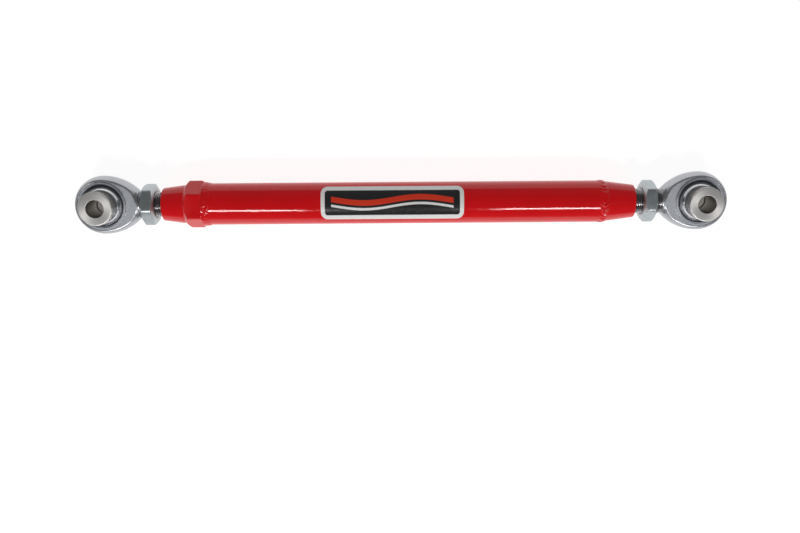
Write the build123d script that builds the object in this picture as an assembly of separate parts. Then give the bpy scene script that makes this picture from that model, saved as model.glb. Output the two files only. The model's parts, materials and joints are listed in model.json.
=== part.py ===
from build123d import *
import os
from math import cos, radians, sin, sqrt, tan
from types import SimpleNamespace

# Adjustable suspension control arm: a steel tube with a welded-in threaded adapter at each
# end, and in each adapter a lined spherical rod end locked by a jam nut. Each bearing ball
# carries two misalignment spacers that take a 1/2 in bolt.
#
# Frame, in millimetres: X runs along the arm, from the hex end (-X) to the round end (+X).
# Z is up and is the axis of both bolt bores. The origin is on the tube's axis, halfway
# between the bores. The arm stands on its two lower spacers.
#
# Each end is drawn in a frame of its own: origin at its bolt bore, +X pointing away from
# the arm, so the shank, the nut and the adapter lie along -X. "reach" is the distance from
# the bolt bore towards the middle of the arm.

INCH = 25.4

# ---- whole arm -------------------------------------------------------------------------
BOLT_SPAN = 452.0              # bolt bore to bolt bore, as it is set here
TUBE_OD = 1.25 * INCH
TUBE_WALL = 0.120 * INCH
TUBE_R = TUBE_OD / 2
TUBE_BORE_R = TUBE_R - TUBE_WALL

# ---- rod end: 3/4 in shank and ball bore --------------------------------------------------
HEAD_R = 1.75 * INCH / 2
HEAD_WIDTH = 0.6875 * INCH     # across the two machined faces
BARREL_R = 16.5                # the head's rim is an arc of this radius across its width
RIM_CHAMFER = 0.6
NECK_SIDE_R = 37.0             # the neck's sides bow in to the shank on this radius
NECK_END = 28.0                # reach of the neck's tip
NECK_TIP_R = 8.7               # radius of the thread's run-out beyond it
# Half height of the neck's top and bottom, as (reach, height): they bow down to the tip,
# then run out level. Across the neck they are an oval this much wider than it is high.
NECK_BOW = ((8.0, 16.8), (17.4, 14.2), (25.6, 9.0))
NECK_RUN_OUT = ((26.7, 8.7), (28.0, 8.6))
NECK_OVAL = 1.44
THREAD_START = 28.4
SHANK_R = 9.50                 # 3/4-16 thread, drawn as its plain outer cylinder
SHANK_END = 73.0
SHANK_CHAMFER = 1.3
THREAD_CLEARANCE = 0.05        # radial, between the shank and the nut or the adapter
OVERLAP = 1.0                  # how far one shape reaches into another it is joined to

# ---- spherical bearing ----------------------------------------------------------------
BALL_R = 1.312 * INCH / 2
BALL_WIDTH = 0.875 * INCH
BALL_BORE_R = 0.75 * INCH / 2
BALL_BORE_CHAMFER = 0.5
RUNNING_GAP = 0.03             # ball to liner, and liner to race
LINER_THICKNESS = 0.38
LINER_HALF_WIDTH = 6.85
RACE_R = 18.25                 # outside radius, pressed into the head
RACE_HALF_WIDTH = 8.60         # a little below the head's faces
RACE_MOUTH_R = 16.70           # wide end of the bevel that lets the ball tilt
RACE_BEVEL_DEPTH = 1.65

# ---- misalignment spacers ----------------------------------------------------------------
SPACER_R = 1.0 * INCH / 2
SPACER_STACK = 47.6            # end face to end face over the ball
SPACER_CHAMFER = 0.8
SPACER_SEAT_GAP = 0.02         # shoulder to the ball's flat
BOLT_BORE_R = 6.45             # clearance on a 1/2 in bolt
BOLT_BORE_CHAMFER = 0.5
NOSE_R = 9.50
NOSE_END = 1.0                 # distance of the nose's tip from the ball's middle plane
GROOVE_HEIGHT = 6.2            # the same for the middle of the O-ring groove
GROOVE_R = 7.90
GROOVE_WIDTH = 2.3
O_RING_SECTION_R = 0.78

# ---- jam nuts and tube adapters -------------------------------------------------------
NUT_ACROSS_FLATS = 1.125 * INCH
NUT_CORNER_R = 15.9            # the corners are turned down to this
NUT_THICKNESS = 27 / 64 * INCH
NUT_FACE_R = 12.4              # radius of a nut's faces, inside its corner chamfers
NUT_CHAMFER_DEG = 31.0
THREAD_MOUTH_CHAMFER = 1.0
ADAPTER_MOUTH_R = 12.45        # small end of the cone, before it is rounded
ADAPTER_MOUTH_ROUND = 1.8
SPIGOT_LENGTH = 25.0           # how far an adapter reaches into the tube

HEX_ACROSS_FLATS = 1.25 * INCH
HEX_LENGTH = 13.6
HEX_CORNER_R = 17.95           # the hexagon's corners are turned down to this
HEX_FRONT_CHAMFER = 2.8        # length of the turned slope from the cone up to the corners
HEX_BACK_CHAMFER = 0.9
HEX_CONE_END_R = 14.80
ROUND_CONE_END_R = 15.35

# ---- groove welds ----------------------------------------------------------------------
WELD_BEVEL_DEG = 30.0          # on the tube's ends and on the round adapter's shoulder
HEX_WELD_ROOT = 2.0            # gap between tube and adapter at the root
HEX_WELD_LAP = 1.8             # how far the cap laps over the tube
HEX_WELD_HEIGHT = 0.85         # of the cap over the tube, where it meets the hexagon
HEX_WELD_CROWN = 0.60          # and halfway across the cap
ROUND_WELD_ROOT = 1.0
ROUND_WELD_LAP = 0.85
ROUND_WELD_HEIGHT = 0.35

# The two ends differ only in these values.
HEX_END = SimpleNamespace(
    name="hex_end",
    place=Pos(-BOLT_SPAN / 2, 0, 0) * Rot(0, 0, 180),
    nut_start=29.7,            # reach of the nut's outer face
    nut_turn_deg=18.0,         # one flat's turn from facing +Z, seen from outside
    adapter_start=45.3,
    shoulder=76.4,             # reach of the adapter's shoulder at the weld's root
)
ROUND_END = SimpleNamespace(
    name="round_end",
    place=Pos(BOLT_SPAN / 2, 0, 0),
    nut_start=32.8,
    nut_turn_deg=-9.5,
    adapter_start=49.1,
    shoulder=72.9,
)

# ---- decal -----------------------------------------------------------------------------
DECAL_LENGTH = 107.0
DECAL_HEIGHT = 24.5            # as seen square on, before it is wrapped round the tube
DECAL_CORNER_R = 5.0
DECAL_THICKNESS = 0.15
DECAL_TURN_DEG = -8.0          # its middle leans from +Z towards +Y
DECAL_CENTRE_X = -6.4

THREAD_HOLE_R = SHANK_R + THREAD_CLEARANCE


def turned_on_x(points):
    """A solid of revolution about X from its half section, as (x, radius) points."""
    return revolve(make_face(Polyline(*points, close=True)), Axis.X)


def turned_on_z(points):
    """A solid of revolution about Z from its half section, as (radius, z) points."""
    return revolve(Plane.XZ * make_face(Polyline(*points, close=True)), Axis.Z)


def hexagon_bar(across_flats, start, end, turn_deg):
    """A hexagonal prism along X between two x values, one flat facing +Z when turn is 0."""
    outline = RegularPolygon(across_flats / 2, 6, major_radius=False)
    bar = extrude(Plane.YZ * outline, end - start)
    return Pos(start, 0, 0) * Rot(turn_deg, 0, 0) * bar


# ---- pieces fixed to the tube --------------------------------------------------------------

def weld_bevel(depth):
    """Length along X of a weld bevel that is this deep."""
    return depth * tan(radians(WELD_BEVEL_DEG))


def tube_ends():
    """X of the tube's two ends, at the roots of the two welds."""
    return (
        -BOLT_SPAN / 2 + HEX_END.shoulder + HEX_WELD_ROOT,
        BOLT_SPAN / 2 - ROUND_END.shoulder - ROUND_WELD_ROOT,
    )


def arm_tube():
    """The tube, with both ends bevelled for the welds."""
    low, high = tube_ends()
    bevel = weld_bevel(TUBE_WALL)
    return turned_on_x([
        (low, TUBE_BORE_R),
        (low + bevel, TUBE_R),
        (high - bevel, TUBE_R),
        (high, TUBE_BORE_R),
    ])


def adapter_cone(end, cone_end, cone_end_r):
    """The cone that shows outside the tube, with its small end rounded over."""
    cone = turned_on_x([
        (-end.adapter_start, 0),
        (-end.adapter_start, ADAPTER_MOUTH_R),
        (-cone_end, cone_end_r),
        (-cone_end, 0),
    ])
    mouth = cone.edges().filter_by(GeomType.CIRCLE).group_by(Axis.X)[-1]
    return fillet(mouth, ADAPTER_MOUTH_ROUND)


def thread_hole(end, last):
    """The adapter's through hole, with the countersink at its mouth."""
    first = -end.adapter_start
    mouth_r = THREAD_HOLE_R + THREAD_MOUTH_CHAMFER
    return turned_on_x([
        (first + OVERLAP, 0),
        (first + OVERLAP, mouth_r),
        (first, mouth_r),
        (first - THREAD_MOUTH_CHAMFER, THREAD_HOLE_R),
        (-last - OVERLAP, THREAD_HOLE_R),
        (-last - OVERLAP, 0),
    ])


def hex_tube_adapter():
    """Threaded adapter with a spanner hexagon, and a spigot that fills the tube's end."""
    end = HEX_END
    hex_start = end.shoulder - HEX_LENGTH
    spigot_end = end.shoulder + SPIGOT_LENGTH
    bar = hexagon_bar(HEX_ACROSS_FLATS, -end.shoulder, -hex_start, 0)
    corners = turned_on_x([
        (-end.shoulder, 0),
        (-end.shoulder, HEX_CORNER_R - HEX_BACK_CHAMFER),
        (-end.shoulder + HEX_BACK_CHAMFER, HEX_CORNER_R),
        (-hex_start - HEX_FRONT_CHAMFER, HEX_CORNER_R),
        (-hex_start, HEX_CONE_END_R),
        (-hex_start, 0),
    ])
    spigot = turned_on_x([
        (-spigot_end, 0),
        (-spigot_end, TUBE_BORE_R),
        (-end.shoulder, TUBE_BORE_R),
        (-end.shoulder, 0),
    ])
    adapter = adapter_cone(end, hex_start, HEX_CONE_END_R) + (bar & corners) + spigot
    return end.place * (adapter - thread_hole(end, spigot_end))


def round_tube_adapter():
    """Threaded adapter with a plain cone, bevelled behind it for the weld."""
    end = ROUND_END
    cone_end = end.shoulder - weld_bevel(ROUND_CONE_END_R - TUBE_BORE_R)
    spigot_end = end.shoulder + SPIGOT_LENGTH
    back = turned_on_x([
        (-spigot_end, 0),
        (-spigot_end, TUBE_BORE_R),
        (-end.shoulder, TUBE_BORE_R),
        (-cone_end, ROUND_CONE_END_R),
        (-cone_end, 0),
    ])
    adapter = adapter_cone(end, cone_end, ROUND_CONE_END_R) + back
    return end.place * (adapter - thread_hole(end, spigot_end))


def weld_bead(points, crown):
    """A ring of weld: its straight sides as (x, radius) points, then its bowed cap."""
    sides = Polyline(*points)
    cap = ThreePointArc(points[-1], crown, points[0])
    return revolve(make_face(sides + cap), Axis.X)


def hex_end_weld_bead():
    """Weld between the hexagon's back and the tube, highest at the hexagon."""
    root, _ = tube_ends()
    shoulder = root - HEX_WELD_ROOT
    edge = root + weld_bevel(TUBE_WALL)
    toe = (edge + HEX_WELD_LAP, TUBE_R)
    peak = (shoulder, TUBE_R + HEX_WELD_HEIGHT)
    crown = ((shoulder + toe[0]) / 2, TUBE_R + HEX_WELD_CROWN)
    inner = (root, TUBE_BORE_R)
    return weld_bead([toe, (edge, TUBE_R), inner, (shoulder, TUBE_BORE_R), peak], crown)


def round_end_weld_bead():
    """Weld between the tube and the round adapter, with a low cap over both."""
    _, root = tube_ends()
    shoulder = root + ROUND_WELD_ROOT
    tube_edge = root - weld_bevel(TUBE_WALL)
    cone_edge = shoulder + weld_bevel(ROUND_CONE_END_R - TUBE_BORE_R)
    cone_run = BOLT_SPAN / 2 - ROUND_END.adapter_start - cone_edge
    cone_drop = ROUND_WELD_LAP * (ROUND_CONE_END_R - ADAPTER_MOUTH_R) / cone_run
    tube_toe = (tube_edge - ROUND_WELD_LAP, TUBE_R)
    cone_toe = (cone_edge + ROUND_WELD_LAP, ROUND_CONE_END_R - cone_drop)
    crown = ((tube_toe[0] + cone_toe[0]) / 2, TUBE_R + ROUND_WELD_HEIGHT)
    return weld_bead([
        tube_toe,
        (tube_edge, TUBE_R),
        (root, TUBE_BORE_R),
        (shoulder, TUBE_BORE_R),
        (cone_edge, ROUND_CONE_END_R),
        cone_toe,
    ], crown)


def tube_decal():
    """A thin label with rounded corners, wrapped round the top of the tube."""
    outer = Cylinder(TUBE_R + DECAL_THICKNESS, 2 * DECAL_LENGTH)
    skin = Rot(0, 90, 0) * (outer - Cylinder(TUBE_R, 2 * DECAL_LENGTH))
    outline = RectangleRounded(DECAL_LENGTH, DECAL_HEIGHT, DECAL_CORNER_R)
    label = skin & extrude(outline, 2 * TUBE_R)
    return Pos(DECAL_CENTRE_X, 0, 0) * Rot(DECAL_TURN_DEG, 0, 0) * label


# ---- pieces of one end -----------------------------------------------------------------

def jam_nut(end):
    """A thin hexagon nut, its corners turned down, both faces chamfered there and at the
    thread."""
    outer, inner = -end.nut_start, -end.nut_start - NUT_THICKNESS
    drop = (NUT_CORNER_R - NUT_FACE_R) * tan(radians(NUT_CHAMFER_DEG))
    mouth_r = THREAD_HOLE_R + THREAD_MOUTH_CHAMFER
    blank = turned_on_x([
        (inner, mouth_r),
        (inner, NUT_FACE_R),
        (inner + drop, NUT_CORNER_R),
        (outer - drop, NUT_CORNER_R),
        (outer, NUT_FACE_R),
        (outer, mouth_r),
        (outer - THREAD_MOUTH_CHAMFER, THREAD_HOLE_R),
        (inner + THREAD_MOUTH_CHAMFER, THREAD_HOLE_R),
    ])
    return end.place * (blank & hexagon_bar(NUT_ACROSS_FLATS, inner, outer, end.nut_turn_deg))


def head_radius(z):
    """The head's outside radius at a height above its middle plane."""
    return HEAD_R - BARREL_R + sqrt(BARREL_R ** 2 - z ** 2)


def rim_profile(inner):
    """The head's radial section, from an inner radius out to the bulging rim."""
    half = HEAD_WIDTH / 2
    rim_z = half - RIM_CHAMFER
    rim_edge = head_radius(rim_z)
    face_edge = head_radius(half) - RIM_CHAMFER / 2
    sides = Polyline(
        (rim_edge, rim_z),
        (face_edge, half),
        (inner, half),
        (inner, -half),
        (face_edge, -half),
        (rim_edge, -rim_z),
    )
    rim = ThreePointArc((rim_edge, -rim_z), (HEAD_R, 0), (rim_edge, rim_z))
    return Plane.XZ * make_face(sides + rim)


def rod_end_head():
    """The head before it is bored: its rim profile turned round the half away from the
    neck."""
    return revolve(Rot(0, 0, -90) * rim_profile(0), Axis.Z, 180)


def rod_end_neck():
    """The neck: two large discs with the head's rim overlap, one bowing each side in to the
    shank, and an oval tip trims them so that the flat faces end in a curve."""
    offset = NECK_SIDE_R - HEAD_R
    disc = revolve(Pos(offset, 0, 0) * rim_profile(-offset), Axis.Z)
    bow = [(-reach, height) for reach, height in NECK_BOW]
    run_out = [(-reach, height) for reach, height in NECK_RUN_OUT]
    outline = (
        Polyline(run_out[-1], (-NECK_END, 0), (0, 0), (0, bow[0][1]), bow[0])
        + ThreePointArc(*bow)
        + ThreePointArc(bow[-1], *run_out)
    )
    tip = scale(revolve(make_face(outline), Axis.X), by=(1, NECK_OVAL, 1))
    return (Pos(0, -offset, 0) * disc) & (Pos(0, offset, 0) * disc) & tip


def rod_end_body(end):
    """Head, neck and threaded shank in one forging, bored through for the race."""
    inside_neck = -NECK_END + OVERLAP
    shank = turned_on_x([
        (-SHANK_END, 0),
        (-SHANK_END, SHANK_R - SHANK_CHAMFER),
        (-SHANK_END + SHANK_CHAMFER, SHANK_R),
        (-THREAD_START - (SHANK_R - NECK_TIP_R), SHANK_R),
        (-THREAD_START, NECK_TIP_R),
        (inside_neck, NECK_TIP_R),
        (inside_neck, 0),
    ])
    body = rod_end_head() + rod_end_neck() + shank
    return end.place * (body - Cylinder(RACE_R, 2 * HEAD_WIDTH))


def bearing_race(end):
    """The ring pressed into the head: spherical inside, bevelled at both mouths."""
    sphere_r = BALL_R + 2 * RUNNING_GAP + LINER_THICKNESS
    bevel_z = RACE_HALF_WIDTH - RACE_BEVEL_DEPTH
    bevel_r = sqrt(sphere_r ** 2 - bevel_z ** 2)
    upper = Polyline(
        (bevel_r, bevel_z),
        (RACE_MOUTH_R, RACE_HALF_WIDTH),
        (RACE_R, RACE_HALF_WIDTH),
        (RACE_R, -RACE_HALF_WIDTH),
        (RACE_MOUTH_R, -RACE_HALF_WIDTH),
        (bevel_r, -bevel_z),
    )
    inside = ThreePointArc((bevel_r, -bevel_z), (sphere_r, 0), (bevel_r, bevel_z))
    return end.place * revolve(Plane.XZ * make_face(upper + inside), Axis.Z)


def bearing_liner(end):
    """The thin low-friction shell between the race and the ball."""
    inner_r = BALL_R + RUNNING_GAP
    outer_r = inner_r + LINER_THICKNESS
    shell = Sphere(outer_r) - Sphere(inner_r)
    return end.place * (shell & Cylinder(2 * outer_r, 2 * LINER_HALF_WIDTH))


def bearing_ball(end):
    """The ball, with a flat at each end of its bore."""
    bore_mouth = BALL_BORE_R + BALL_BORE_CHAMFER
    flat_z = BALL_WIDTH / 2
    bore = turned_on_z([
        (0, -flat_z),
        (bore_mouth, -flat_z),
        (BALL_BORE_R, -flat_z + BALL_BORE_CHAMFER),
        (BALL_BORE_R, flat_z - BALL_BORE_CHAMFER),
        (bore_mouth, flat_z),
        (0, flat_z),
    ])
    return end.place * ((Sphere(BALL_R) & Cylinder(2 * BALL_R, BALL_WIDTH)) - bore)


def spacer(end, up):
    """A stepped spacer: its nose sits in the ball's bore, its shoulder on the ball's flat."""
    seat = BALL_WIDTH / 2 + SPACER_SEAT_GAP
    face = SPACER_STACK / 2
    groove_low = GROOVE_HEIGHT - GROOVE_WIDTH / 2
    groove_high = GROOVE_HEIGHT + GROOVE_WIDTH / 2
    outline = [
        (BOLT_BORE_R, NOSE_END),
        (NOSE_R - SPACER_CHAMFER, NOSE_END),
        (NOSE_R, NOSE_END + SPACER_CHAMFER),
        (NOSE_R, groove_low),
        (GROOVE_R, groove_low),
        (GROOVE_R, groove_high),
        (NOSE_R, groove_high),
        (NOSE_R, seat),
        (SPACER_R, seat),
        (SPACER_R, face - SPACER_CHAMFER),
        (SPACER_R - SPACER_CHAMFER, face),
        (BOLT_BORE_R + BOLT_BORE_CHAMFER, face),
        (BOLT_BORE_R, face - BOLT_BORE_CHAMFER),
    ]
    return end.place * Rot(0 if up else 180, 0, 0) * turned_on_z(outline)


def spacer_o_ring(end, up):
    """The O-ring in the spacer's groove that grips the ball's bore."""
    ring = Torus(GROOVE_R + O_RING_SECTION_R, O_RING_SECTION_R)
    return end.place * Pos(0, 0, GROOVE_HEIGHT if up else -GROOVE_HEIGHT) * ring


def arm_pieces():
    """The pieces that are welded or stuck together into the arm itself."""
    return {
        "arm_tube": arm_tube(),
        "hex_tube_adapter": hex_tube_adapter(),
        "round_tube_adapter": round_tube_adapter(),
        "hex_end_weld_bead": hex_end_weld_bead(),
        "round_end_weld_bead": round_end_weld_bead(),
        "tube_decal": tube_decal(),
    }


def end_pieces(end):
    """The nut, the rod end with its bearing, and the spacers of one end."""
    return {
        end.name + "_jam_nut": jam_nut(end),
        end.name + "_rod_end_body": rod_end_body(end),
        end.name + "_bearing_race": bearing_race(end),
        end.name + "_bearing_liner": bearing_liner(end),
        end.name + "_bearing_ball": bearing_ball(end),
        end.name + "_upper_spacer": spacer(end, True),
        end.name + "_lower_spacer": spacer(end, False),
        end.name + "_upper_o_ring": spacer_o_ring(end, True),
        end.name + "_lower_o_ring": spacer_o_ring(end, False),
    }


pieces = {**arm_pieces(), **end_pieces(HEX_END), **end_pieces(ROUND_END)}

os.makedirs("parts", exist_ok=True)
for node, solid in pieces.items():
    export_step(solid, f"parts/{node}.step")
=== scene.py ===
import json
from math import atan2, cos, pi, radians, sin, sqrt, tan
from types import SimpleNamespace

import bmesh
import bpy
from mathutils import Matrix, Vector, noise


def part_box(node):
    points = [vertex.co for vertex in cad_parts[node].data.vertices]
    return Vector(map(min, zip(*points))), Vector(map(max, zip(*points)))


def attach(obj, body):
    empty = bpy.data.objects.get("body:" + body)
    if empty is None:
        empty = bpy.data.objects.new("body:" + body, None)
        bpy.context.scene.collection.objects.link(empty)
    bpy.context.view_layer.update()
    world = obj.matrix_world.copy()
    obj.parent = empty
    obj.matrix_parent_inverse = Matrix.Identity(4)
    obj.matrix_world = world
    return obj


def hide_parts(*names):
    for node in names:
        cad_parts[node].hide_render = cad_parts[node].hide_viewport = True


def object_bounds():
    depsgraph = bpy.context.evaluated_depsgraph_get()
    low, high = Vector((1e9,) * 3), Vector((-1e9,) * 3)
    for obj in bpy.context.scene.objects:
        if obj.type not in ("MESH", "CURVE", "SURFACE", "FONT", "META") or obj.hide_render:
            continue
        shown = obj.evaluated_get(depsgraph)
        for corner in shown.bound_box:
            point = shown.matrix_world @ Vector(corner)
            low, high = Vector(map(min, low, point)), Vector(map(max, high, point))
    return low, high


# The looks of an adjustable suspension control arm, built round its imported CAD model.
#
# Frame: X runs along the arm, from the hex end (-X) to the round end (+X), and Z is up and
# is the axis of both bolt bores. Profiles are drawn in millimetres and turned into metres
# when a mesh is made. "reach" is the distance from an end's bolt bore towards the middle.

MM = 0.001

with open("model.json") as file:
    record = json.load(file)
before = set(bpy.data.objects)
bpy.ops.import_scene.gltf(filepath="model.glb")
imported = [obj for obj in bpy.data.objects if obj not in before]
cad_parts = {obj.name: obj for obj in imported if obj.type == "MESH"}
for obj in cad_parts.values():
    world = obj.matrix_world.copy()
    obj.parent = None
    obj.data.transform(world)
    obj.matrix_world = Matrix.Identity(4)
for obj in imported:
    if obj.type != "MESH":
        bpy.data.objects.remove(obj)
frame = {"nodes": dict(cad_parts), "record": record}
cad_low, cad_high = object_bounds()

# ---- rod end -------------------------------------------------------------------------------
THREAD_PITCH = 25.4 / 16
LEFT_HAND = -1
RIGHT_HAND = 1
CREST_R = 9.50
ROOT_R = 8.60
FLAT_SHARE = 0.22              # of the pitch is flat, half of it at the crest, half at the root
THREAD_TURN_STEPS = 72
THREAD_PITCH_STEPS = 12
THREAD_START = 28.2            # reach where the thread runs out towards the neck
THREAD_RUNOUT = 1.1            # and over which it comes up to its full depth
THREAD_GLOSS = 0.10            # how much less rough the rolled thread is than the forging
ROOT_SHADE_EDGE = 0.15          # the roots' painted shade ends this far under the crests
SHANK_CUT = 27.6               # reach where the forged neck is cut from the threaded shank
SHANK_START = 20.0             # reach of the shank's hidden end, inside the neck
SHANK_OVERLAP = 0.2            # its fine steps start this far past the cut
SHANK_TIP_CHAMFER = 1.4
NECK_VOXEL = 0.36
NECK_SMOOTHING = 5
NECK_SMOOTHING_FACTOR = 0.5
CAD_MERGE = 1e-6               # metres, for the corners that the CAD mesh repeats

# ---- nuts and adapters, as in the CAD model ------------------------------------------------
THREAD_HOLE_R = 9.55
THREAD_MOUTH_R = 10.55
COUNTERSINK = 1.0              # depth of the countersink from mouth to hole
NUT_ACROSS_FLATS = 28.575
NUT_CORNER_R = 15.9
NUT_FACE_R = 12.4
NUT_CHAMFER_DEG = 31.0
NUT_EDGE = 0.35                # how far each edge's rounding reaches from the edge
NUT_CORNER_EDGE = 0.9          # and the rounding of its six corners
NUT_FLAT_STEPS = 6
HEX_END_NUT_TURN_DEG = 18.0    # how far the nut's upper flat is turned away from +Z
ROUND_END_NUT_TURN_DEG = -9.5
ADAPTER_MOUTH_R = 12.45
ADAPTER_MOUTH_ROUND = 1.7
TUBE_R = 15.875
TUBE_BORE_R = 12.827
HEX_ACROSS_FLATS = 31.75
HEX_START = 62.8               # reach of the hexagon's front
HEX_CORNER_R = 17.95
HEX_FRONT_CHAMFER = 2.8
HEX_BACK_CHAMFER = 0.9
HEX_CORNER_EDGE = 0.8
HEX_FLAT_STEPS = 8
HEX_CONE_END_R = 14.80
ROUND_CONE_END_R = 15.35
COAT_EDGE = 0.6                # the coating's rounding of the adapters' edges
HOLE_EDGE = 0.3                # the same at the threaded hole and under the hex weld
MOUTH_EDGE = 0.4               # at the rim of the countersink
HIDDEN_EDGE = 0.1              # inside the tube, and under the round weld
LEAST_CHAMFER = 0.05           # at the hexagon's back, away from its corners
SPIGOT_LENGTH = 25.0

# ---- welds, as in the CAD model but rippled ------------------------------------------------
WELD_BEVEL = tan(radians(30))
WELD_SINK = 0.04               # the toes reach this far into the steel
WELD_RIPPLE_STEPS = 16         # round the arm, for each ripple
WELD_CAP_STEPS = 20            # across the cap
WELD_DEPTH = 0.3               # hidden corners lie this far under the tube's surface
WELD_DRIFT = 0.35              # how far the ripples wander, in ripples
WELD_DRIFT_NOISE = 3           # noise cells to a radius of the arm
WELD_UNEVENNESS = 0.6          # share by which the ripples' height varies
WELD_HEIGHT_NOISE = 2
WELD_SCALLOP = 0.3             # how far a ripple pushes the toes outwards
HEX_WELD_ROOT = 2.0            # width at the bottom of the groove
HEX_WELD_PEAK = 0.80           # height over the tube, at the hexagon
HEX_WELD_LAP = 0.1             # reach by which it laps onto the hexagon
ROUND_WELD_SIDE = 1.2          # reach from each toe to the bottom of the groove
ROUND_WELD_DEPTH = 0.6         # depth of the hidden corner under the cone
CONE_TOE_DROP = 0.1            # the cone is this much thinner at the toe than at its end

# ---- bearing and spacers, as in the CAD model ----------------------------------------------
BALL_R = 16.662
BALL_FLAT = 11.1125            # half of the ball's width
BALL_BORE_R = 9.525
RACE_R = 18.25
RACE_FACE = 8.60
RACE_MOUTH_R = 16.70
RACE_BEVEL = 6.95              # height where the bevel meets the sphere
LINER_ROOM = 0.44              # between ball and race
RACE_SPHERE_R = BALL_R + LINER_ROOM
RACE_EDGE = 0.12
RACE_STEPS = 16                # up its sphere
BALL_EDGE = 0.4
BALL_STEPS = 40
SPACER_R = 12.70
SPACER_FACE = 23.80
SPACER_SEAT = 11.1325
BOLT_BORE_R = 6.45
NOSE_R = 9.50
NOSE_END = 1.0
GROOVE_R = 7.90
GROOVE_LOW = 5.05
GROOVE_HIGH = 7.35
BORE_SHADE_FADE = (0.15, 0.45)       # the bore's painted shade fades out between these distances outside it

# ---- label ---------------------------------------------------------------------------------
LABEL_X = -6.4
LABEL_TURN_DEG = 8.0           # its middle leans from +Z towards +Y
LABEL_HALF_LENGTH = 53.5
LABEL_HALF_HEIGHT = 12.25
LABEL_CORNER_R = 5.0
LABEL_BORDER = 3.0
LABEL_PRINT_EDGE = 0.1         # how softly two inks meet, each way
LABEL_WAVE_HEIGHT = 2.2        # of the bars
LABEL_WAVE_RATE = 0.075        # radians for each millimetre
LABEL_RED_BAR = (2.0, 2.1)     # middle and half width
LABEL_PALE_BAR = (-2.7, 0.9)
LABEL_BARS_HALF_LENGTH = 45.7

# ---- mesh and noise ------------------------------------------------------------------------
MERGE = 1e-7                   # metres, for points that fall together
SIDE_SHARE = 0.45              # the most of a side that the curve at its corner may take
CORNER_STEPS = 4               # of the curve at each of a hexagon's corners
FACE_WEIGHT = 80               # how much large faces outweigh small ones in even normals
TURNED_STEPS = 120             # round a turned piece
TUBE_STEPS = 180
ROUND_ADAPTER_STEPS = 96
NOISE_SPAN = (0.3, 0.7)        # where most values of a noise lie

# ---- studio, in metres ---------------------------------------------------------------------
SOFTBOX_TILT_DEG = 32.0        # from straight up towards -Y
SOFTBOX_DISTANCE = 1.0
SOFTBOX_X = 0.36
SOFTBOX_WIDTH = 0.32
SOFTBOX_HEIGHT = 0.25
SOFTBOX_WATTS = 7.2
FLOOR_SIZE = 30.0
FLOOR_GLOW = 0.90              # the table top is lit from below as well
HORIZON_GREY = 0.30
ROOM_GREY = 0.17               # overhead
ROOM_TOP = 0.8                 # sine of the elevation from which the room is overhead grey
BAND_GREY = 0.95               # of the pale band where the room meets the table top
BAND_FULL = 0.05               # sine of the elevation up to which the band is fully pale
BAND_TOP = 0.10                # and at which it ends
PANEL_X = 0.58                 # beyond the two heads, out of the tube's reflection
PANEL_Y = -0.14
PANEL_HEIGHT = 1.05
PANEL_SIZE = 0.26
PANEL_WATTS = 0.23
PANEL_COLOR = (0.90, 0.95, 1.0)
CAMERA_PLACE = (-0.00105, 0.084, 0.634)
CAMERA_TILT_DEG = 11.93        # from straight down towards -Y
CAMERA_ROLL_DEG = 0.427
CAMERA_LENS = 37.52            # millimetres, as is the sensor's width
CAMERA_SENSOR = 36.0
CAMERA_REACH = 60.0            # how far it sees, beyond the floor's edges


# ---- ends ----------------------------------------------------------------------------------

def find_ends():
    """The two ends of the arm, with the places of their bolt bores from the record."""
    bores = {m["name"]: m["pos_m"][0] for m in frame["record"]["mounts"]}
    found = []
    for name, nut_turn_deg, hand in (
        ("hex_end", HEX_END_NUT_TURN_DEG, LEFT_HAND),
        ("round_end", ROUND_END_NUT_TURN_DEG, RIGHT_HAND),
    ):
        x = bores[name + "_bolt_bore"]
        side = 1 if x > 0 else -1
        found.append(SimpleNamespace(
            name=name, x=x, side=side, nut_turn_deg=nut_turn_deg, hand=hand,
        ))
    return found


def span(end, node):
    """Nearest and furthest reach of a CAD node from its end's bolt bore, in millimetres."""
    low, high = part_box(node)
    reaches = [abs(end.x - x) / MM for x in (low.x, high.x)]
    return min(reaches), max(reaches)


def on_x(end, reach, radius, angle):
    """A point at a reach, a radius from the arm's axis, and an angle from +Z, in metres."""
    x = end.x - end.side * reach * MM
    return Vector((x, -end.side * radius * sin(angle) * MM, radius * cos(angle) * MM))


def on_z(end, radius, height, angle):
    """A point at a radius from an end's bolt axis and a height, in metres."""
    return Vector((end.x + radius * cos(angle) * MM, radius * sin(angle) * MM, height * MM))


ends = find_ends()
hex_end, round_end = ends
BOLT_X = abs(hex_end.x)


# ---- mesh helpers --------------------------------------------------------------------------

def soften(points, cut, steps=3):
    """A closed outline with each corner replaced by a small curve. cut is how far the curve
    reaches from the corner, at most; one number, or one for each corner."""
    cuts = cut if isinstance(cut, (list, tuple)) else [cut] * len(points)
    result = []
    for i, point in enumerate(points):
        corner = Vector(point)
        before, after = Vector(points[i - 1]), Vector(points[(i + 1) % len(points)])
        sides = ((before - corner).length, (after - corner).length)
        reach = min(cuts[i], SIDE_SHARE * min(sides))
        start = corner + (before - corner).normalized() * reach
        end = corner + (after - corner).normalized() * reach
        for k in range(steps + 1):
            t = k / steps
            result.append((1 - t) ** 2 * start + 2 * t * (1 - t) * corner + t * t * end)
    return result


def soften_rows(rows):
    """A softened outline from rows of (x, y, cut)."""
    return soften([row[:2] for row in rows], [row[2] for row in rows])


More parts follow.
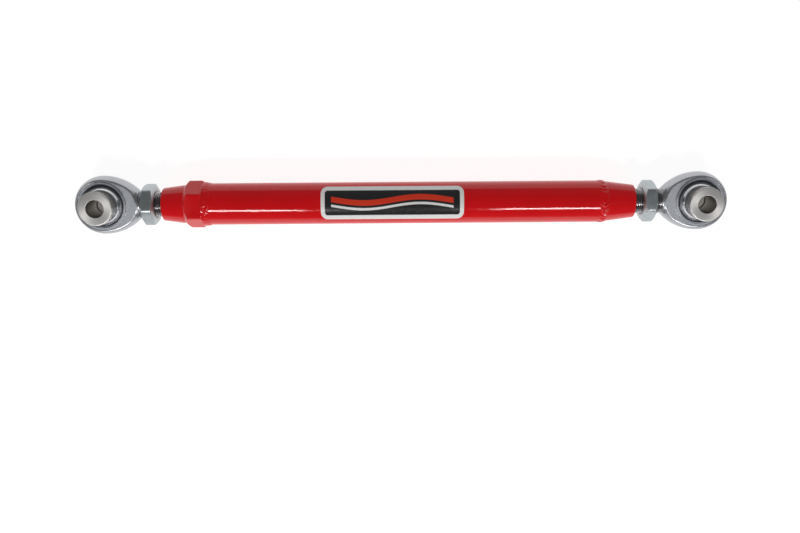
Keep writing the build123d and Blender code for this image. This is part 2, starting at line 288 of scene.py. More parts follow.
def skin(name, rings, material, closed_profile=True):
    """A closed surface through rings of points that all have the same number of points. The
    last ring joins the first. Points that fall together on an axis become one."""
    vertices = [point for ring in rings for point in ring]
    count = len(rings[0])
    steps = count if closed_profile else count - 1
    faces = []
    for i in range(len(rings)):
        here, there = i * count, (i + 1) % len(rings) * count
        for j in range(steps):
            k = (j + 1) % count
            faces.append((here + j, there + j, there + k, here + k))
    mesh = bpy.data.meshes.new(name)
    mesh.from_pydata(vertices, [], faces)
    return finished(name, mesh, material)


def finished(name, mesh, material):
    """An object for a mesh: doubles merged, normals outward, smooth, with its material."""
    work = bmesh.new()
    work.from_mesh(mesh)
    bmesh.ops.remove_doubles(work, verts=work.verts, dist=MERGE)
    bmesh.ops.recalc_face_normals(work, faces=work.faces)
    work.to_mesh(mesh)
    work.free()
    mesh.shade_smooth()
    mesh.materials.append(material)
    piece = bpy.data.objects.new(name, mesh)
    bpy.context.scene.collection.objects.link(piece)
    return piece


def even_normals(piece):
    """Makes large faces shade flat where they meet small rounded edges."""
    modifier = piece.modifiers.new("even normals", "WEIGHTED_NORMAL")
    modifier.weight = FACE_WEIGHT
    modifier.keep_sharp = True


def apply_modifiers(piece):
    """Replaces a piece's mesh with what its modifiers make of it."""
    graph = bpy.context.evaluated_depsgraph_get()
    graph.update()
    mesh = bpy.data.meshes.new_from_object(piece.evaluated_get(graph))
    piece.modifiers.clear()
    piece.data = mesh


def around(count):
    """Angles of an even turn."""
    return [2 * pi * i / count for i in range(count)]


def turned_on_z(name, end, profile, cut, material):
    """A ring about an end's bolt axis from its closed half section of (radius, height)."""
    outline = soften(profile, cut)
    rings = [[on_z(end, p.x, p.y, angle) for p in outline] for angle in around(TURNED_STEPS)]
    piece = skin(name, rings, material)
    even_normals(piece)
    return piece


def hexagon_outline(across_flats, turn_deg, corner_cut, flat_steps):
    """(angle, radius) of points round a hexagon with rounded corners, one flat facing +Z
    when turn is 0. Each flat is divided into flat_steps."""
    corner_r = across_flats / sqrt(3)
    corners = []
    for i in range(6):
        angle = radians(30 + 60 * i)
        corners.append((corner_r * sin(angle), corner_r * cos(angle)))
    outline = []
    soft = soften(corners, corner_cut, CORNER_STEPS)
    for i, point in enumerate(soft):
        outline.append(point)
        if i % (CORNER_STEPS + 1) == CORNER_STEPS:
            far = soft[(i + 1) % len(soft)]
            for k in range(1, flat_steps):
                outline.append(point.lerp(far, k / flat_steps))
    return [(atan2(p.x, p.y) + radians(turn_deg), p.length) for p in outline]


# ---- material helpers ----------------------------------------------------------------------

def add(tree, kind, inputs=None, **settings):
    """A new node, with its settings, and its inputs set to values or linked to sockets."""
    node = tree.nodes.new(kind)
    for name, value in settings.items():
        setattr(node, name, value)
    for name, value in (inputs or {}).items():
        if isinstance(value, bpy.types.NodeSocket):
            tree.links.new(value, node.inputs[name])
        else:
            node.inputs[name].default_value = value
    return node


def maths(tree, operation, a, b=0.0):
    """A maths node on two numbers or sockets."""
    return add(tree, "ShaderNodeMath", {0: a, 1: b}, operation=operation).outputs[0]


def noise_of(tree, place, scale, detail, roughness=0.5):
    """Noise from 0 to 1, scale being its cells to the metre."""
    inputs = {"Vector": place, "Scale": scale, "Detail": detail, "Roughness": roughness}
    return add(tree, "ShaderNodeTexNoise", inputs).outputs["Fac"]


def spread(tree, value, span_from, span_to):
    """A value mapped from one span to another, and held inside it."""
    inputs = {
        "Value": value,
        "From Min": span_from[0],
        "From Max": span_from[1],
        "To Min": span_to[0],
        "To Max": span_to[1],
    }
    return add(tree, "ShaderNodeMapRange", inputs).outputs[0]


def length_of(tree, a, b):
    """Length of a vector with two parts."""
    squares = [maths(tree, "MULTIPLY", part, part) for part in (a, b)]
    return maths(tree, "SQRT", maths(tree, "ADD", *squares))


def mixed(tree, factor, a, b):
    """Two colours mixed by a factor. A Mix node takes its colours in inputs 6 and 7, and
    gives them in output 2."""
    node = add(tree, "ShaderNodeMix", {"Factor": factor}, data_type="RGBA")
    for index, value in ((6, a), (7, b)):
        if isinstance(value, bpy.types.NodeSocket):
            tree.links.new(value, node.inputs[index])
        else:
            node.inputs[index].default_value = (*value, 1.0)
    return node.outputs[2]


def bumped(tree, height, distance, under=None):
    """A bump that turns a height of 0 to 1 into a distance in metres, on top of another."""
    inputs = {"Height": height, "Distance": distance, "Strength": 1.0}
    if under is not None:
        inputs["Normal"] = under
    return add(tree, "ShaderNodeBump", inputs).outputs["Normal"]


def new_material(name, **uniform):
    """A material with a Principled shader, its uniform values set on their sockets; an
    underscore stands for a space. Gives the material, its node tree, its shader, and object
    coordinates."""
    material = bpy.data.materials.new(name)
    material.use_nodes = True
    tree = material.node_tree
    shader = tree.nodes["Principled BSDF"]
    for socket, value in uniform.items():
        shader.inputs[socket.replace("_", " ")].default_value = value
    place = add(tree, "ShaderNodeTexCoord").outputs["Object"]
    return material, tree, shader, place


def link(tree, shader, **sockets):
    """Links sockets to the shader's inputs; an underscore stands for a space."""
    for name, socket in sockets.items():
        tree.links.new(socket, shader.inputs[name.replace("_", " ")])


def bolt_radius(tree, place):
    """Distance from the nearer bolt axis, in metres."""
    parts = add(tree, "ShaderNodeSeparateXYZ", {0: place})
    along = maths(tree, "SUBTRACT", maths(tree, "ABSOLUTE", parts.outputs[0]), BOLT_X)
    return length_of(tree, along, parts.outputs[1])


# ---- materials -----------------------------------------------------------------------------

def red_powder_coat():
    """Glossy red powder coat with a fine orange peel."""
    material, tree, shader, place = new_material("red_powder_coat", IOR=1.45)
    tone = noise_of(tree, place, scale=55, detail=3)
    color = mixed(tree, tone, (0.64, 0.0004, 0.0035), (0.74, 0.0008, 0.0050))
    haze = spread(tree, noise_of(tree, place, scale=140, detail=4), (0.35, 0.7), (0.07, 0.12))
    peel = bumped(tree, noise_of(tree, place, scale=330, detail=1), 0.02 * MM)
    grain = bumped(tree, noise_of(tree, place, scale=1500, detail=2), 0.004 * MM, peel)
    link(tree, shader, Base_Color=color, Roughness=haze, Normal=grain)
    return material


def zinc_plate():
    """Bright zinc plating, slightly blue, with a faint mottle."""
    material, tree, shader, place = new_material("zinc_plated_steel", Metallic=1.0)
    mottle = noise_of(tree, place, scale=260, detail=4, roughness=0.6)
    color = mixed(tree, mottle, (0.36, 0.40, 0.41), (0.50, 0.54, 0.55))
    rough = spread(tree, noise_of(tree, place, scale=700, detail=3), NOISE_SPAN, (0.28, 0.42))
    wave = bumped(tree, noise_of(tree, place, scale=500, detail=2), 0.02 * MM)
    grain = bumped(tree, noise_of(tree, place, scale=3500, detail=2), 0.004 * MM, wave)
    link(tree, shader, Base_Color=color, Roughness=rough, Normal=grain)
    return material


def in_thread(tree, place):
    """1 on the shanks' threads, else 0."""
    along = add(tree, "ShaderNodeSeparateXYZ", {0: place}).outputs[0]
    thread_x = BOLT_X - THREAD_START * MM
    return maths(tree, "LESS_THAN", maths(tree, "ABSOLUTE", along), thread_x)


def painted_thread_root_shade(tree, place):
    """1 in the roots of the shanks' threads, where shade is painted, else 0."""
    parts = add(tree, "ShaderNodeSeparateXYZ", {0: place})
    radius = length_of(tree, parts.outputs[1], parts.outputs[2])
    depth_span = (ROOT_R * MM, (CREST_R - ROOT_SHADE_EDGE) * MM)
    deep = spread(tree, radius, depth_span, (1.0, 0.0))
    return maths(tree, "MULTIPLY", deep, in_thread(tree, place))


def rod_end_plate():
    """Satin plating over a tumbled forging, blue-grey, with painted shade in the thread roots.
    """
    material, tree, shader, place = new_material("satin_rod_end_steel", Metallic=1.0)
    mottle = noise_of(tree, place, scale=220, detail=4, roughness=0.6)
    color = mixed(tree, mottle, (0.38, 0.385, 0.405), (0.46, 0.465, 0.485))
    # painted shade: the thread roots are darkened towards the root radius
    color = mixed(tree, painted_thread_root_shade(tree, place), color, (0.22, 0.205, 0.20))
    rough = spread(tree, noise_of(tree, place, scale=900, detail=3), NOISE_SPAN, (0.25, 0.35))
    rolled = maths(tree, "MULTIPLY", in_thread(tree, place), THREAD_GLOSS)
    rough = maths(tree, "SUBTRACT", rough, rolled)
    wave = bumped(tree, noise_of(tree, place, scale=420, detail=3), 0.03 * MM)
    grain = bumped(tree, noise_of(tree, place, scale=4000, detail=2), 0.005 * MM, wave)
    link(tree, shader, Base_Color=color, Roughness=rough, Normal=grain)
    return material


def race_steel():
    """Satin steel of the race, turned in fine rings about the bolt axis."""
    material, tree, shader, place = new_material("race_steel", Metallic=1.0)
    radius = add(tree, "ShaderNodeCombineXYZ", {0: bolt_radius(tree, place)}).outputs[0]
    rings = noise_of(tree, radius, scale=2600, detail=2)
    color = mixed(tree, rings, (0.36, 0.37, 0.40), (0.44, 0.45, 0.48))
    rough = spread(tree, noise_of(tree, place, scale=1200, detail=2), NOISE_SPAN, (0.28, 0.38))
    lines = bumped(tree, rings, 0.004 * MM)
    link(tree, shader, Base_Color=color, Roughness=rough, Normal=lines)
    return material


def liner_weave():
    """The woven edge of the low-friction liner, nearly black."""
    material, tree, shader, place = new_material("liner_fabric")
    weave = noise_of(tree, place, scale=2600, detail=3, roughness=0.7)
    color = mixed(tree, weave, (0.006, 0.006, 0.007), (0.035, 0.03, 0.026))
    rough = spread(tree, weave, NOISE_SPAN, (0.55, 0.8))
    threads = bumped(tree, weave, 0.06 * MM)
    link(tree, shader, Base_Color=color, Roughness=rough, Normal=threads)
    return material


def ball_chrome():
    """Hard chrome on the ball, polished, with faint lapping marks."""
    material, tree, shader, place = new_material("polished_ball_steel", Metallic=1.0)
    smear = noise_of(tree, place, scale=180, detail=3)
    color = mixed(tree, smear, (0.60, 0.61, 0.64), (0.72, 0.73, 0.75))
    rough = spread(tree, noise_of(tree, place, scale=900, detail=4), (0.35, 0.75), (0.15, 0.26))
    marks = bumped(tree, noise_of(tree, place, scale=2400, detail=2), 0.0015 * MM)
    link(tree, shader, Base_Color=color, Roughness=rough, Normal=marks)
    return material


def turned_spacer_steel():
    """Bare turned steel, with fine rings about the bolt axis, and painted shade in the drilled
    bore.
    """
    material, tree, shader, place = new_material(
        "machined_spacer_steel", Metallic=1.0, Anisotropic=0.55
    )
    radius = add(tree, "ShaderNodeCombineXYZ", {0: bolt_radius(tree, place)}).outputs[0]
    rings = noise_of(tree, radius, scale=1800, detail=2, roughness=0.6)
    bands = noise_of(tree, radius, scale=700, detail=2)
    # painted shade: the steel is darkened inside and near the bolt bore
    bore_edge = [(BOLT_BORE_R + outside) * MM for outside in BORE_SHADE_FADE]
    outside_bore = spread(tree, bolt_radius(tree, place), bore_edge, (0.0, 1.0))
    bright = mixed(tree, bands, (0.56, 0.54, 0.52), (0.66, 0.64, 0.62))
    bore_shade = mixed(tree, bands, (0.16, 0.14, 0.12), (0.22, 0.195, 0.17))
    color = mixed(tree, outside_bore, bore_shade, bright)
    rough = spread(tree, noise_of(tree, place, scale=300, detail=3), NOISE_SPAN, (0.34, 0.46))
    lines = bumped(tree, rings, 0.003 * MM)
    tangent = add(tree, "ShaderNodeTangent", direction_type="RADIAL", axis="Z").outputs[0]
    link(tree, shader, Base_Color=color, Roughness=rough, Normal=lines, Tangent=tangent)
    return material


def label_place(tree, place):
    """Millimetres along the label, and up it, from its middle."""
    parts = add(tree, "ShaderNodeSeparateXYZ", {0: place})
    turn = radians(LABEL_TURN_DEG)
    along = maths(tree, "SUBTRACT", maths(tree, "DIVIDE", parts.outputs[0], MM), LABEL_X)
    up = maths(
        tree, "SUBTRACT",
        maths(tree, "MULTIPLY", parts.outputs[1], cos(turn) / MM),
        maths(tree, "MULTIPLY", parts.outputs[2], sin(turn) / MM),
    )
    return along, up


def past(tree, value, limit):
    """How far a value is past a limit on either side of 0, else 0."""
    over = maths(tree, "SUBTRACT", maths(tree, "ABSOLUTE", value), limit)
    return maths(tree, "MAXIMUM", over, 0.0)


def label_field(tree, along, up):
    """1 inside the label's border, a rectangle with round corners, else 0."""
    corner_r = LABEL_CORNER_R - LABEL_BORDER
    over_along = past(tree, along, LABEL_HALF_LENGTH - LABEL_BORDER - corner_r)
    over_up = past(tree, up, LABEL_HALF_HEIGHT - LABEL_BORDER - corner_r)
    edge = (corner_r - LABEL_PRINT_EDGE, corner_r + LABEL_PRINT_EDGE)
    return spread(tree, length_of(tree, over_along, over_up), edge, (1.0, 0.0))


def bar(tree, value, middle, half_width):
    """1 where a value lies within a half width of a middle, else 0, with a soft edge."""
    off = maths(tree, "ABSOLUTE", maths(tree, "SUBTRACT", value, middle))
    edge = (half_width - LABEL_PRINT_EDGE, half_width + LABEL_PRINT_EDGE)
    return spread(tree, off, edge, (1.0, 0.0))


def label_bars(tree, along, up):
    """1 on the red bar and on the pale bar, which wave side by side, else 0."""
    angle = maths(tree, "MULTIPLY", along, LABEL_WAVE_RATE)
    wave = maths(tree, "MULTIPLY", maths(tree, "SINE", angle), LABEL_WAVE_HEIGHT)
    over_wave = maths(tree, "SUBTRACT", up, wave)
    inside = bar(tree, along, 0.0, LABEL_BARS_HALF_LENGTH)
    return [
        maths(tree, "MULTIPLY", bar(tree, over_wave, middle, half_width), inside)
        for middle, half_width in (LABEL_RED_BAR, LABEL_PALE_BAR)
    ]


def printed_label():
    """A glossy printed label: pale border, black field, and two plain wavy bars."""
    material, tree, shader, place = new_material("printed_vinyl", IOR=1.5)
    along, up = label_place(tree, place)
    red_bar, pale_bar = label_bars(tree, along, up)
    ink = noise_of(tree, place, scale=1400, detail=3)
    pale = mixed(tree, ink, (0.80, 0.80, 0.78), (0.90, 0.90, 0.88))
    black = mixed(tree, ink, (0.008, 0.008, 0.009), (0.022, 0.022, 0.024))
    red = mixed(tree, ink, (0.62, 0.028, 0.010), (0.78, 0.050, 0.016))
    color = mixed(tree, label_field(tree, along, up), pale, black)
    color = mixed(tree, red_bar, color, red)
    color = mixed(tree, pale_bar, color, pale)
    rough = spread(tree, noise_of(tree, place, scale=500, detail=2), NOISE_SPAN, (0.16, 0.26))
    print_relief = bumped(tree, ink, 0.004 * MM)
    link(tree, shader, Base_Color=color, Roughness=rough, Normal=print_relief)
    return material


def o_ring_rubber():
    """Black rubber with a dull bloom."""
    material, tree, shader, place = new_material("black_rubber")
    bloom = noise_of(tree, place, scale=800, detail=4)
    color = mixed(tree, bloom, (0.012, 0.012, 0.013), (0.03, 0.03, 0.031))
    rough = spread(tree, bloom, NOISE_SPAN, (0.45, 0.65))
    grain = bumped(tree, noise_of(tree, place, scale=3000, detail=2), 0.01 * MM)
    link(tree, shader, Base_Color=color, Roughness=rough, Normal=grain)
    return material


def white_floor():
    """A plain pale table top."""
    material, tree, shader, place = new_material("white_floor")
    shade = noise_of(tree, place, scale=3, detail=2)
    color = mixed(tree, shade, (0.24, 0.24, 0.24), (0.27, 0.27, 0.27))
    rough = spread(tree, shade, NOISE_SPAN, (0.6, 0.7))
    link(tree, shader, Base_Color=color, Roughness=rough)
    shader.inputs["Emission Color"].default_value = (1.0, 1.0, 1.0, 1.0)
    shader.inputs["Emission Strength"].default_value = FLOOR_GLOW
    return material


# ---- pieces --------------------------------------------------------------------------------

def jam_nut(end, material):
    """A jam nut with softened edges, countersunk at both faces."""
    node = end.name + "_jam_nut"
    outer, inner = span(end, node)
    slope = tan(radians(NUT_CHAMFER_DEG))
    outline = hexagon_outline(
        NUT_ACROSS_FLATS, end.nut_turn_deg, NUT_CORNER_EDGE, NUT_FLAT_STEPS
    )
    rings = []
    for angle, radius in outline:
        radius = min(radius, NUT_CORNER_R)
        drop = (radius - NUT_FACE_R) * slope
        profile = soften([
            (outer + COUNTERSINK, THREAD_HOLE_R),
            (outer, THREAD_MOUTH_R),
            (outer, NUT_FACE_R),
            (outer + drop, radius),
            (inner - drop, radius),
            (inner, NUT_FACE_R),
            (inner, THREAD_MOUTH_R),
            (inner - COUNTERSINK, THREAD_HOLE_R),
        ], NUT_EDGE)
        rings.append([on_x(end, p.x, p.y, angle) for p in profile])
    piece = skin(node + "_shaped", rings, material)
    even_normals(piece)
    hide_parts(node)
    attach(piece, end.name + "_nut")


def thread_radius(phase):
    """Radius of the thread at a phase of its pitch from 0 to 1, the crest's middle at 0."""
    flat = FLAT_SHARE / 2
    share = min(phase, 1 - phase) * 2
    rise = (1 - share - flat) / (1 - 2 * flat)
    return ROOT_R + (CREST_R - ROOT_R) * min(1.0, max(0.0, rise))


def threaded_shank(end, material):
    """The shank's thread as a closed solid, from inside the neck to its free end."""
    _, last = span(end, end.name + "_rod_end_body")
    step = THREAD_PITCH / THREAD_PITCH_STEPS
    reaches = [SHANK_START, SHANK_CUT + SHANK_OVERLAP]
    while reaches[-1] + step < last:
        reaches.append(reaches[-1] + step)
    reaches.append(last)
    rings = []
    for angle in around(THREAD_TURN_STEPS):
        ring = [on_x(end, SHANK_START, 0, 0)]
        for reach in reaches:
            phase = (reach / THREAD_PITCH + end.hand * angle / (2 * pi)) % 1.0
            depth = min(1.0, max(0.0, (reach - THREAD_START) / THREAD_RUNOUT))
            radius = ROOT_R + (thread_radius(phase) - ROOT_R) * depth
            radius = min(radius, CREST_R - SHANK_TIP_CHAMFER + (last - reach))
            ring.append(on_x(end, reach, radius, angle))
        ring.append(on_x(end, last, 0, 0))
        rings.append(ring)
    return skin("shank", rings, material, closed_profile=False)


def forged_head(end, material):
    """The rod end's head and neck from their CAD solid, cut off at the shank, with the
    edges softened as forging and tumbling leave them."""
    source = frame["nodes"][end.name + "_rod_end_body"]
    mesh = source.data.copy()
    work = bmesh.new()
    work.from_mesh(mesh)
    bmesh.ops.remove_doubles(work, verts=work.verts, dist=CAD_MERGE)
    geometry = work.verts[:] + work.edges[:] + work.faces[:]
    cut = Vector((end.x - end.side * SHANK_CUT * MM, 0, 0))
    result = bmesh.ops.bisect_plane(
        work, geom=geometry, plane_co=cut, plane_no=(-end.side, 0, 0), clear_outer=True
    )
    rim = [g for g in result["geom_cut"] if isinstance(g, bmesh.types.BMEdge)]
    bmesh.ops.contextual_create(work, geom=rim)
    work.to_mesh(mesh)
    work.free()
    mesh.materials.clear()
    piece = finished("head", mesh, material)
    remesh = piece.modifiers.new("remesh", "REMESH")
    remesh.mode = "VOXEL"
    remesh.voxel_size = NECK_VOXEL * MM
    remesh.use_smooth_shade = True
    smooth = piece.modifiers.new("smooth", "SMOOTH")
    smooth.factor = NECK_SMOOTHING_FACTOR
    smooth.iterations = NECK_SMOOTHING
    apply_modifiers(piece)
    return piece


def rod_end(end, material):
    """The forged head and its threaded shank as one solid."""
    node = end.name + "_rod_end_body"
    piece = forged_head(end, material)
    shank = threaded_shank(end, material)
    union = piece.modifiers.new("union", "BOOLEAN")
    union.operation = "UNION"
    union.solver = "MANIFOLD"
    union.object = shank
    apply_modifiers(piece)
    bpy.data.objects.remove(shank)
    piece.data.shade_smooth()
    piece.name = node + "_forged"
    piece.data.materials.clear()
    piece.data.materials.append(material)
    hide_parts(node)
    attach(piece, end.name + "_rod_end")


def hex_adapter(end, material):
    """The hex end's adapter, its edges rounded over by the coating."""
    node = "hex_tube_adapter"
    mouth, spigot_end = span(end, node)
    shoulder, _ = span(end, "hex_end_weld_bead")
    rings = []
    for angle, radius in hexagon_outline(HEX_ACROSS_FLATS, 0, HEX_CORNER_EDGE, HEX_FLAT_STEPS):
        radius = min(radius, HEX_CORNER_R)
        rise = (radius - HEX_CONE_END_R) / (HEX_CORNER_R - HEX_CONE_END_R)
        back_r = min(radius, HEX_CORNER_R - HEX_BACK_CHAMFER)
        profile = soften_rows([
            (mouth + COUNTERSINK, THREAD_HOLE_R, HOLE_EDGE),
            (mouth, THREAD_MOUTH_R, MOUTH_EDGE),
            (mouth, ADAPTER_MOUTH_R, ADAPTER_MOUTH_ROUND),
            (HEX_START, HEX_CONE_END_R, COAT_EDGE),
            (HEX_START + rise * HEX_FRONT_CHAMFER, radius, COAT_EDGE),
            (shoulder - (radius - back_r) - LEAST_CHAMFER, radius, COAT_EDGE),
            (shoulder, back_r - LEAST_CHAMFER, HOLE_EDGE),
            (shoulder, TUBE_BORE_R, HIDDEN_EDGE),
            (spigot_end, TUBE_BORE_R, HIDDEN_EDGE),
            (spigot_end, THREAD_HOLE_R, HIDDEN_EDGE),
        ])
        rings.append([on_x(end, p.x, p.y, angle) for p in profile])
    piece = skin(node + "_coated", rings, material)
    even_normals(piece)
    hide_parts(node)
    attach(piece, "arm")


def round_adapter(end, material):
    """The round end's adapter, its mouth rounded over."""
    node = "round_tube_adapter"
    mouth, spigot_end = span(end, node)
    shoulder = spigot_end - SPIGOT_LENGTH
    cone_end = shoulder - (ROUND_CONE_END_R - TUBE_BORE_R) * WELD_BEVEL
    profile = soften_rows([
        (mouth + COUNTERSINK, THREAD_HOLE_R, HOLE_EDGE),
        (mouth, THREAD_MOUTH_R, MOUTH_EDGE),
        (mouth, ADAPTER_MOUTH_R, ADAPTER_MOUTH_ROUND),
        (cone_end, ROUND_CONE_END_R, HIDDEN_EDGE),
        (shoulder, TUBE_BORE_R, HIDDEN_EDGE),
        (spigot_end, TUBE_BORE_R, HIDDEN_EDGE),
        (spigot_end, THREAD_HOLE_R, HIDDEN_EDGE),
    ])
    angles = around(ROUND_ADAPTER_STEPS)
    rings = [[on_x(end, p.x, p.y, angle) for p in profile] for angle in angles]
    piece = skin(node + "_coated", rings, material)
    even_normals(piece)
    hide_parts(node)
    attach(piece, "arm")


def weld_bead(end, node, hidden, toe, far_toe, look, material):
    """A groove weld: its hidden sides, and a cap between two toes with crescent ripples.
    Points are (reach, radius). The look says how far the cap bows out, how many ripples go
    round, how high they are, and how far a ripple's ends trail its middle, in ripples."""
    toe, far_toe = Vector(toe), Vector(far_toe)
    rings = []
    for angle in around(look.ripples * WELD_RIPPLE_STEPS):
        spot = Vector((cos(angle), sin(angle), end.x / MM))
        drift = WELD_DRIFT * noise.noise(WELD_DRIFT_NOISE * spot)
        other_noise = noise.noise(WELD_HEIGHT_NOISE * spot + Vector((7, 0, 0)))
        strength = look.height * (1 + WELD_UNEVENNESS * other_noise)
        ring = [on_x(end, reach, radius, angle) for reach, radius in hidden]
        for step in range(WELD_CAP_STEPS + 1):
            share = step / WELD_CAP_STEPS
            off_middle = 2 * share - 1
            phase = look.ripples * angle / (2 * pi) + drift + look.crescent * off_middle ** 2
            phase %= 1.0
            dome = 1 - (2 * phase - 1) ** 2
            cover = 1 - off_middle ** 2
            point = toe.lerp(far_toe, share)
            point.x += WELD_SCALLOP * off_middle * dome * abs(off_middle)
            point.y += look.bow * cover + strength * (dome - 0.5) * sqrt(cover)
            ring.append(on_x(end, point.x, point.y, angle))
        rings.append(ring)
    piece = skin(node + "_rippled", rings, material)
    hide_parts(node)
    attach(piece, "arm")


def hex_weld(end, material):
    """The weld behind the hexagon, broad and finely rippled, highest at the hexagon."""
    node = "hex_end_weld_bead"
    shoulder, toe = span(end, node)
    root = shoulder + HEX_WELD_ROOT
    hidden = [
        (toe, TUBE_R - WELD_DEPTH),
        (root + WELD_BEVEL * (TUBE_R - TUBE_BORE_R), TUBE_R - WELD_DEPTH),
        (root, TUBE_BORE_R),
        (shoulder, TUBE_BORE_R),
    ]
    peak = (shoulder - HEX_WELD_LAP, TUBE_R + HEX_WELD_PEAK)
    look = SimpleNamespace(bow=0.20, ripples=30, height=0.32, crescent=3.0)
    weld_bead(end, node, hidden, peak, (toe, TUBE_R - WELD_SINK), look, material)


def round_weld(end, material):
    """The weld between the tube and the round adapter, a row of crescents."""
    node = "round_end_weld_bead"
    cone_toe, tube_toe = span(end, node)
    hidden = [
        (tube_toe, TUBE_R - WELD_DEPTH),
        (tube_toe - ROUND_WELD_SIDE, TUBE_BORE_R),
        (cone_toe + ROUND_WELD_SIDE, TUBE_BORE_R),
        (cone_toe, ROUND_CONE_END_R - ROUND_WELD_DEPTH),
    ]
    cone_side = (cone_toe, ROUND_CONE_END_R - CONE_TOE_DROP - WELD_SINK)
    tube_side = (tube_toe, TUBE_R - WELD_SINK)
    look = SimpleNamespace(bow=0.35, ripples=22, height=0.60, crescent=0.7)
    weld_bead(end, node, hidden, cone_side, tube_side, look, material)


def tube(end, material):
    """The tube as a fine, truly round skin, with its bevelled ends."""
    low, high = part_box("arm_tube")
    first, last = (abs(end.x - x) / MM for x in (low.x, high.x))
    bevel = WELD_BEVEL * (TUBE_R - TUBE_BORE_R)
    profile = [
        (first, TUBE_BORE_R),
        (first + bevel, TUBE_R),
        (last - bevel, TUBE_R),
        (last, TUBE_BORE_R),
    ]
    rings = [[on_x(end, *point, angle) for point in profile] for angle in around(TUBE_STEPS)]
    piece = skin("arm_tube_coated", rings, material)
    even_normals(piece)
    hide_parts("arm_tube")
    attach(piece, "arm")


def spacer(end, up, material):
    """A misalignment spacer with its edges broken: nose, O-ring groove, shoulder, face."""
    node = end.name + ("_upper_spacer" if up else "_lower_spacer")
    sign = 1 if up else -1
    outline = [                # (radius, height, how far the broken edge reaches)
        (BOLT_BORE_R, NOSE_END, 0.3),
        (NOSE_R, NOSE_END, 0.8),
        (NOSE_R, GROOVE_LOW, 0.1),
        (GROOVE_R, GROOVE_LOW, 0.1),
        (GROOVE_R, GROOVE_HIGH, 0.1),
        (NOSE_R, GROOVE_HIGH, 0.1),
        (NOSE_R, SPACER_SEAT, 0.1),
        (SPACER_R, SPACER_SEAT, 0.4),
        (SPACER_R, SPACER_FACE, 0.8),
        (BOLT_BORE_R, SPACER_FACE, 0.5),
    ]
    profile = [(radius, sign * height) for radius, height, _ in outline]
    piece = turned_on_z(node + "_turned", end, profile, [cut for *_, cut in outline], material)
    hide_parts(node)
    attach(piece, end.name + "_spacers")


def sphere_arc(radius, low, high, steps):
    """(radius, height) points up a sphere between two heights."""
    heights = [low + (high - low) * k / steps for k in range(steps + 1)]
    return [(sqrt(radius ** 2 - height ** 2), height) for height in heights]


def race(end, material):
    """The race: a ring, spherical inside, bevelled at both mouths."""
    node = end.name + "_bearing_race"
    inside = sphere_arc(RACE_SPHERE_R, -RACE_BEVEL, RACE_BEVEL, RACE_STEPS)
    rim = [
        (RACE_MOUTH_R, RACE_FACE),
        (RACE_R, RACE_FACE),
        (RACE_R, -RACE_FACE),
        (RACE_MOUTH_R, -RACE_FACE),
    ]
    piece = turned_on_z(node + "_turned", end, inside + rim, RACE_EDGE, material)
    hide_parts(node)
    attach(piece, end.name + "_rod_end")


def ball(end, material):
    """The ball, with a flat at each end of its bore."""
    node = end.name + "_bearing_ball"
    outside = sphere_arc(BALL_R, -BALL_FLAT, BALL_FLAT, BALL_STEPS)
    bore = [(BALL_BORE_R, BALL_FLAT), (BALL_BORE_R, -BALL_FLAT)]
    piece = turned_on_z(node + "_ground", end, outside + bore, BALL_EDGE, material)
    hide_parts(node)
    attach(piece, end.name + "_ball")


# ---- stage, lights and camera --------------------------------------------------------------

def stage():
    """A pale table top under the arm."""
    bpy.ops.mesh.primitive_plane_add(size=FLOOR_SIZE, location=(0, 0, cad_low.z))
    floor = bpy.context.object
    floor.name = "floor"
    floor.data.materials.append(white_floor())


def softbox(name, x):
    """A softbox on the -Y side of the table, aimed square at the arm."""
    light = bpy.data.lights.new(name, "AREA")
    light.shape = "RECTANGLE"
    light.size, light.size_y = SOFTBOX_WIDTH, SOFTBOX_HEIGHT
    light.energy = SOFTBOX_WATTS
    lamp = bpy.data.objects.new(name, light)
    tilt = radians(SOFTBOX_TILT_DEG)
    lamp.location = (x, -SOFTBOX_DISTANCE * sin(tilt), SOFTBOX_DISTANCE * cos(tilt))
    lamp.rotation_euler = (-tilt, 0, 0)
    bpy.context.scene.collection.objects.link(lamp)


def panel(name, x):
    """A dim panel above and beyond one head, whose flat face mirrors it."""
    light = bpy.data.lights.new(name, "AREA")
    light.shape = "SQUARE"
    light.size = PANEL_SIZE
    light.energy = PANEL_WATTS
    light.color = PANEL_COLOR
    lamp = bpy.data.objects.new(name, light)
    lamp.location = (x, PANEL_Y, PANEL_HEIGHT)
    bpy.context.scene.collection.objects.link(lamp)


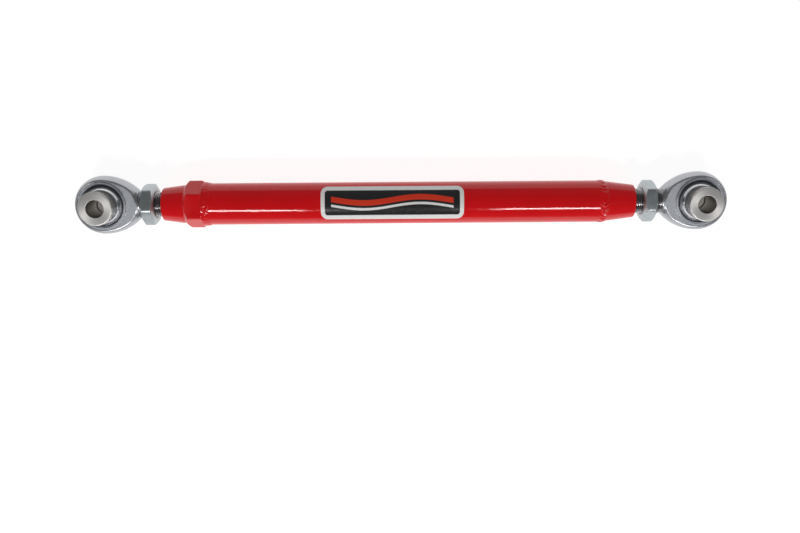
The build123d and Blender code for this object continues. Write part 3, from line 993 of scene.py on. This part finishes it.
def studio_world():
    """A grey room, darker overhead, with a pale band where it meets the table top."""
    world = bpy.data.worlds.new("studio")
    bpy.context.scene.world = world
    world.use_nodes = True
    tree = world.node_tree
    place = add(tree, "ShaderNodeTexCoord").outputs["Generated"]
    height = add(tree, "ShaderNodeSeparateXYZ", {0: place}).outputs[2]
    shade = spread(tree, height, (0.0, ROOM_TOP), (HORIZON_GREY, ROOM_GREY))
    room = mixed(tree, shade, (0, 0, 0), (1, 1, 1))
    band = spread(tree, height, (BAND_FULL, BAND_TOP), (1.0, 0.0))
    color = mixed(tree, band, room, (BAND_GREY, BAND_GREY, BAND_GREY))
    background = tree.nodes["Background"]
    tree.links.new(color, background.inputs["Color"])
    background.inputs["Strength"].default_value = 1.0


def camera():
    """Looks down on the arm from just beyond it, a little tilted, as the photographer did."""
    data = bpy.data.cameras.new("camera")
    data.lens = CAMERA_LENS
    data.sensor_width = CAMERA_SENSOR
    data.clip_end = CAMERA_REACH
    view = bpy.data.objects.new("camera", data)
    bpy.context.scene.collection.objects.link(view)
    view.matrix_world = (
        Matrix.Translation(CAMERA_PLACE)
        @ Matrix.Rotation(radians(-CAMERA_TILT_DEG), 4, "X")
        @ Matrix.Rotation(radians(-CAMERA_ROLL_DEG), 4, "Z")
    )
    bpy.context.scene.camera = view


# ---- everything ----------------------------------------------------------------------------

finishes = {
    "red_powder_coat": red_powder_coat(),
    "printed_vinyl": printed_label(),
    "zinc_plated_steel": zinc_plate(),
    "satin_rod_end_steel": rod_end_plate(),
    "race_steel": race_steel(),
    "liner_fabric": liner_weave(),
    "polished_ball_steel": ball_chrome(),
    "machined_spacer_steel": turned_spacer_steel(),
    "black_rubber": o_ring_rubber(),
}
for part in frame["record"]["subparts"]:
    node = frame["nodes"][part["node"]]
    node.data.materials.clear()
    node.data.materials.append(finishes[part["material_slot"]])
    node.data.shade_smooth()

for end in ends:
    jam_nut(end, finishes["zinc_plated_steel"])
    rod_end(end, finishes["satin_rod_end_steel"])
    race(end, finishes["race_steel"])
    ball(end, finishes["polished_ball_steel"])
    for up in (True, False):
        spacer(end, up, finishes["machined_spacer_steel"])
red = finishes["red_powder_coat"]
tube(hex_end, red)
hex_adapter(hex_end, red)
round_adapter(round_end, red)
hex_weld(hex_end, red)
round_weld(round_end, red)

stage()
studio_world()
softbox("softbox_left", -SOFTBOX_X)
softbox("softbox_right", SOFTBOX_X)
panel("panel_left", -PANEL_X)
panel("panel_right", PANEL_X)
camera()
bpy.context.scene.view_settings.view_transform = "Standard"
